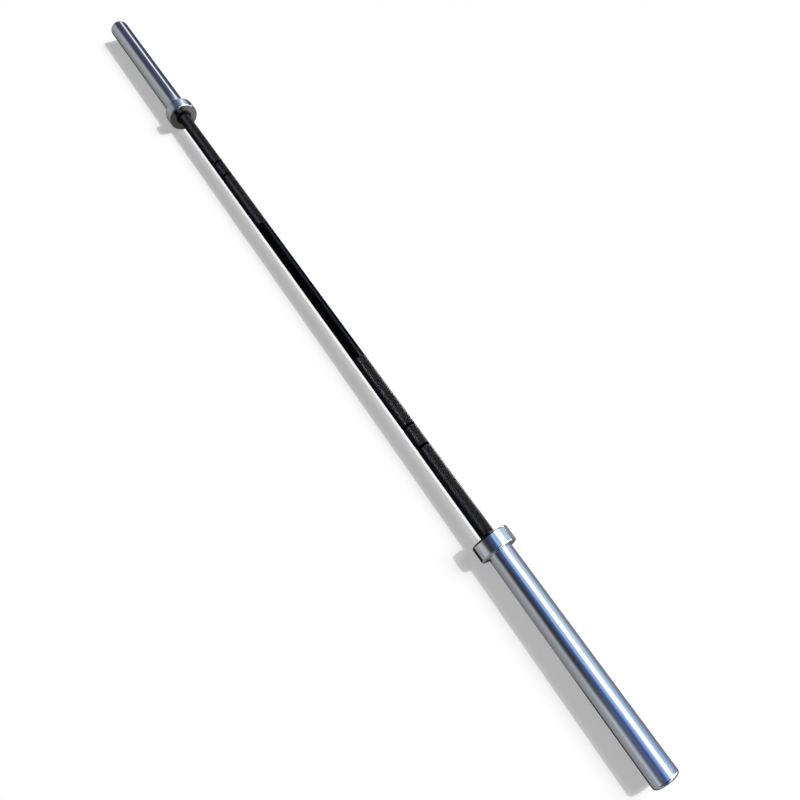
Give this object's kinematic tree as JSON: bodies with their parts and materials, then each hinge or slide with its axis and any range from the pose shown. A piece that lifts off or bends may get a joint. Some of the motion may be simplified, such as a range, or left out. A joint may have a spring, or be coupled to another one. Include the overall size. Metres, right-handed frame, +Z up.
{
  "type": "barbell",
  "caption": "Straight steel lifting bar: knurled black shaft, and on each side a chrome collar and a free-turning chrome sleeve that takes weight plates.",
  "frame": {"origin": "on the bar's axis, at the middle of the shaft", "axes": "+X along the bar towards the right sleeve, +Z up, the bar resting on its collars"},
  "size_m": [2.2, 0.076, 0.076],
  "materials": {
    "shaft_black": "black oxide, satin, knurled hands",
    "sleeve_chrome": "bright polished chrome",
    "collar_chrome": "bright chrome, turned faces",
    "cap_steel": "turned chrome, satin",
    "bronze": "machined sintered bronze",
    "washer_steel": "dark hardened steel",
    "spring_steel": "dark oiled spring steel",
    "seal_rubber": "black rubber, matt"
  },
  "bodies": {
    "shaft": {"shaft": "shaft_black", "shaft_snap_ring_left": "spring_steel", "wave_washer_left": "spring_steel", "shaft_snap_ring_right": "spring_steel", "wave_washer_right": "spring_steel"},
    "left_sleeve": {"sleeve_left": "sleeve_chrome", "collar_left": "collar_chrome", "inner_bushing_left": "bronze", "inner_thrust_washer_left": "washer_steel", "outer_bushing_left": "bronze", "outer_thrust_washer_left": "washer_steel", "end_cap_left": "cap_steel", "end_cap_seal_left": "seal_rubber", "end_cap_snap_ring_left": "spring_steel"},
    "right_sleeve": {"sleeve_right": "sleeve_chrome", "collar_right": "collar_chrome", "inner_bushing_right": "bronze", "inner_thrust_washer_right": "washer_steel", "outer_bushing_right": "bronze", "outer_thrust_washer_right": "washer_steel", "end_cap_right": "cap_steel", "end_cap_seal_right": "seal_rubber", "end_cap_snap_ring_right": "spring_steel"}
  },
  "joints": [
    {"name": "left_sleeve_spin", "type": "hinge", "parent": "shaft", "child": "left_sleeve", "pos_m": [-0.655, 0, 0], "axis": [1, 0, 0], "continuous": true},
    {"name": "right_sleeve_spin", "type": "hinge", "parent": "shaft", "child": "right_sleeve", "pos_m": [0.655, 0, 0], "axis": [1, 0, 0], "continuous": true}
  ]
}
